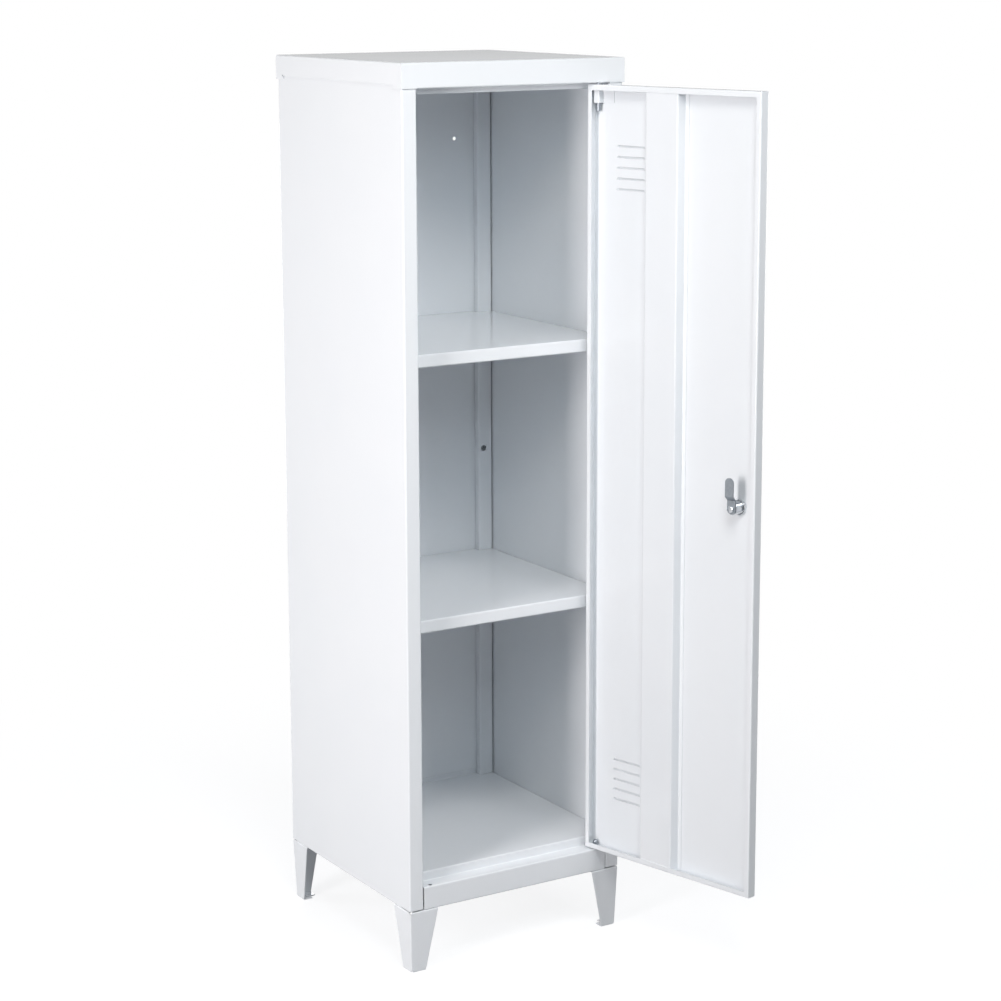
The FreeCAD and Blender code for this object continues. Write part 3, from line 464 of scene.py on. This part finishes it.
def lock_barrel():
    """Closed ring: face flange with a rounded rim, threaded barrel cut by two flats, and the plug's bore.

    At each angle the barrel's radius is the smaller of the thread's and flats / 2 / |cos angle|.
    """
    angle = turn(FINE_ROUND)
    front = -LOCK_FLANGE
    bend = quarter(RIM_ROWS)
    rim = LOCK_FLANGE_R - LOCK_FLANGE_ROUND + LOCK_FLANGE_ROUND * np.sin(bend)
    rim_height = front + LOCK_FLANGE_ROUND * (1 - np.cos(bend))
    rows = int(ROWS_PER_PITCH * BARREL_LENGTH / BARREL_PITCH)
    height = np.linspace(0, BARREL_LENGTH, rows)[:, None]
    flats = BARREL_FLATS / 2 / np.abs(np.cos(angle))
    barrel = np.minimum(thread(BARREL_R, BARREL_PITCH, height, angle), flats)
    bore = column(PLUG_BORE_R) + 0 * angle
    radius = np.concatenate([bore, rim + 0 * angle, column(LOCK_FLANGE_R) + 0 * angle, barrel, bore])
    stations = [column(front), rim_height, column(0), height, column(BARREL_LENGTH)]
    heights = np.concatenate(stations) + 0 * angle
    grid = ring_grid(radius, heights, angle, LOCK, DOOR_IN, DOOR_ALONG)
    piece("lock_body_threaded", [grid], True, "door", "chromed_zinc", "lock_body")


def lock_fasteners():
    """Thin nut on the barrel and the hexagon screw that holds the cam."""
    foot = LOCK + DOOR_IN * DOOR_SHEET
    nut = hex_nut(LOCK_NUT_FLATS, BARREL_R, LOCK_NUT, foot, DOOR_IN, UP)
    piece("lock_nut_chamfered", [nut], True, "door", "chromed_zinc", "lock_nut")
    face = LOCK + DOOR_IN * (CAM_SCREW_SEAT + CAM_SCREW_HEAD)
    screw = hex_bolt(CAM_SCREW_FLATS, CAM_SCREW_HEAD, M5_R, M5_PITCH, CAM_SCREW_LENGTH, face, DOOR_OUT, UP)
    piece("cam_screw_threaded", [screw], False, "lock", "chromed_zinc", "cam_screw")


def hinge_spring():
    """Round wire along a helix: angle and height grow together, and each end is closed at a pole.

    A point of the wire is path + wire radius · (cos a · outwards + sin a · the path's normal).
    """
    low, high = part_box("hinge_spring")
    along = np.linspace(0, 1, ROWS_PER_COIL * SPRING_TURNS + 1)
    angle = 2 * np.pi * SPRING_TURNS * along
    rise = low.z + SPRING_WIRE_R + (high.z - low.z - 2 * SPRING_WIRE_R) * along
    radial = np.stack([np.cos(angle), np.sin(angle), 0 * angle], -1)
    path = np.array((PIVOT.x, PIVOT.y, 0)) + SPRING_R * radial + np.stack([0 * rise, 0 * rise, rise], -1)
    tangent = np.gradient(path, axis=0)
    tangent /= np.linalg.norm(tangent, axis=1, keepdims=True)
    normal = np.cross(tangent, radial)
    around = turn(WIRE_ROUND)[..., None]
    section = np.cos(around) * radial[:, None] + np.sin(around) * normal[:, None]
    first, last = (np.broadcast_to(path[i], (1, WIRE_ROUND, 3)) for i in (0, -1))
    grid = np.concatenate([first, path[:, None] + SPRING_WIRE_R * section, last])
    spring = piece("hinge_spring_round_wire", [grid], False, "door", "zinc_plated_steel", "hinge_spring")
    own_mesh(spring)


def lower_pin():
    """Turned pivot: a bevelled shank, then a head closed by a dome of radius R cos b at height R sin b."""
    low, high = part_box("lower_hinge_pin")
    seat = PIVOT.z + PIN_HEAD_SEAT
    bend = quarter(DOME_ROWS)
    angle = turn(ROUND)
    shank = column(0, PIN_R - PIN_BEVEL, PIN_R, PIN_R, PIN_HEAD_R)
    shank_height = column(low.z, low.z, low.z + PIN_BEVEL, seat, seat)
    radius = np.concatenate([shank, PIN_HEAD_R * np.cos(bend)]) + 0 * angle
    height = np.concatenate([shank_height, high.z - PIN_HEAD_R + PIN_HEAD_R * np.sin(bend)]) + 0 * angle
    radius[-1] = 0
    grid = ring_grid(radius, height, angle, Vector((PIVOT.x, PIVOT.y, 0)), UP, INTO)
    piece("lower_hinge_pin_domed", [grid], False, "door", "zinc_plated_steel", "lower_hinge_pin")


def make_camera():
    """Camera at the picture's viewpoint: yaw to the right of +Y, pitch below the horizon, a slight roll."""
    yaw, pitch, roll = (math.radians(a) for a in (CAMERA_YAW, CAMERA_PITCH, CAMERA_ROLL))
    level = Vector((math.cos(yaw), -math.sin(yaw), 0))
    ahead = Vector((math.sin(yaw) * math.cos(pitch), math.cos(yaw) * math.cos(pitch), -math.sin(pitch)))
    down = ahead.cross(level)
    right = level * math.cos(roll) + down * math.sin(roll)
    upward = right.cross(ahead)
    data = bpy.data.cameras.new("camera")
    data.sensor_width = SENSOR
    data.lens = FOCAL * SENSOR / PICTURE
    data.shift_x = -(CENTRE_X - PICTURE / 2) / PICTURE
    data.shift_y = (CENTRE_Y - PICTURE / 2) / PICTURE
    camera = bpy.data.objects.new("camera", data)
    facing = Matrix((right, upward, -ahead)).transposed().to_4x4()
    camera.matrix_world = Matrix.Translation(MIDDLE + CAMERA_FROM_MIDDLE) @ facing
    bpy.context.scene.collection.objects.link(camera)
    bpy.context.scene.camera = camera


def seen_rays(tree):
    """1 for rays that see the studio directly or through glass, REFLECTED_ROOM for its reflections."""
    path = add(tree, "LightPath")
    direct = add(tree, "Math", {0: path.outputs["Is Camera Ray"], 1: path.outputs["Is Transmission Ray"]})
    mirror = {0: path.outputs["Is Glossy Ray"], 1: REFLECTED_ROOM, 2: direct.outputs[0]}
    return add(tree, "Math", mirror, operation="MULTIPLY_ADD", use_clamp=True).outputs[0]


def floor_finish():
    """Matt white sheet: white to the eye apart from the locker's soft shadow, a plain bounce to the light.

    The shadow is drawn near the locker and fades into plain white between FLOOR_CLEAR and FLOOR_FADED.
    """
    finish = bpy.data.materials.new("studio_floor_matt_white")
    finish.use_nodes = True
    tree = finish.node_tree
    tree.nodes.remove(tree.nodes["Principled BSDF"])
    bounce = add(tree, "BsdfDiffuse", {"Color": srgb(FLOOR_TINT)})
    shade = add(tree, "BsdfDiffuse", {"Color": srgb(FLOOR_SHADE_TINT)})
    glow = add(tree, "Emission", {"Strength": FLOOR_GLOW})
    near = add(tree, "AddShader", {0: shade.outputs[0], 1: glow.outputs[0]})
    far = add(tree, "Emission", {"Strength": 1.0})
    place = add(tree, "TexCoord").outputs["Object"]
    away = add(tree, "VectorMath", {0: place, 1: MIDDLE}, operation="DISTANCE").outputs["Value"]
    reach = {"Value": away, "From Min": FLOOR_CLEAR, "From Max": FLOOR_FADED}
    fade = add(tree, "MapRange", reach, interpolation_type="SMOOTHSTEP")
    sweep = add(tree, "MixShader", {0: fade.outputs[0], 1: near.outputs[0], 2: far.outputs[0]})
    mix = add(tree, "MixShader", {0: seen_rays(tree), 1: bounce.outputs[0], 2: sweep.outputs[0]})
    feed(tree, tree.nodes["Material Output"], {"Surface": mix.outputs[0]})
    return finish


def make_floor():
    """Square of floor, centred under the locker."""
    half = FLOOR_SIZE / 2
    corners = [MIDDLE + Vector((x * half, y * half, 0)) for x, y in ((-1, -1), (1, -1), (1, 1), (-1, 1))]
    mesh = bpy.data.meshes.new("floor")
    mesh.from_pydata(corners, [], [(0, 1, 2, 3)])
    mesh.materials.append(floor_finish())
    floor = bpy.data.objects.new("floor", mesh)
    bpy.context.scene.collection.objects.link(floor)


def make_lights():
    """Soft boxes, all aimed at one point of the locker."""
    for name, (place, size, watts, tint) in LIGHTS.items():
        data = bpy.data.lights.new(name, "AREA")
        data.shape = "RECTANGLE"
        data.size, data.size_y = size
        data.energy = watts
        data.color = srgb(tint)[:3]
        lamp = bpy.data.objects.new(name, data)
        lamp.location = MIDDLE + Vector(place)
        aim = MIDDLE + Vector(LIGHTS_AIM) - lamp.location
        lamp.rotation_euler = aim.to_track_quat("-Z", "Y").to_euler()
        bpy.context.scene.collection.objects.link(lamp)


def make_surround():
    """Cool, even and faint light from all round, with a white backdrop to the eye."""
    world = bpy.data.worlds.new("studio")
    world.use_nodes = True
    tree = world.node_tree
    faint = tree.nodes["Background"]
    feed(tree, faint, {"Color": srgb(AMBIENT_TINT), "Strength": AMBIENT})
    backdrop = add(tree, "Background", {"Color": srgb(BACKDROP_TINT), "Strength": 1.0})
    mix = add(tree, "MixShader", {0: seen_rays(tree), 1: faint.outputs[0], 2: backdrop.outputs[0]})
    feed(tree, tree.nodes["World Output"], {"Surface": mix.outputs[0]})
    bpy.context.scene.world = world


dress_nodes()
leg_fasteners()
cap_fasteners()
back_fasteners()
lock_barrel()
lock_fasteners()
hinge_spring()
lower_pin()
make_camera()
make_floor()
make_lights()
make_surround()
bpy.context.scene.view_settings.view_transform = "Standard"
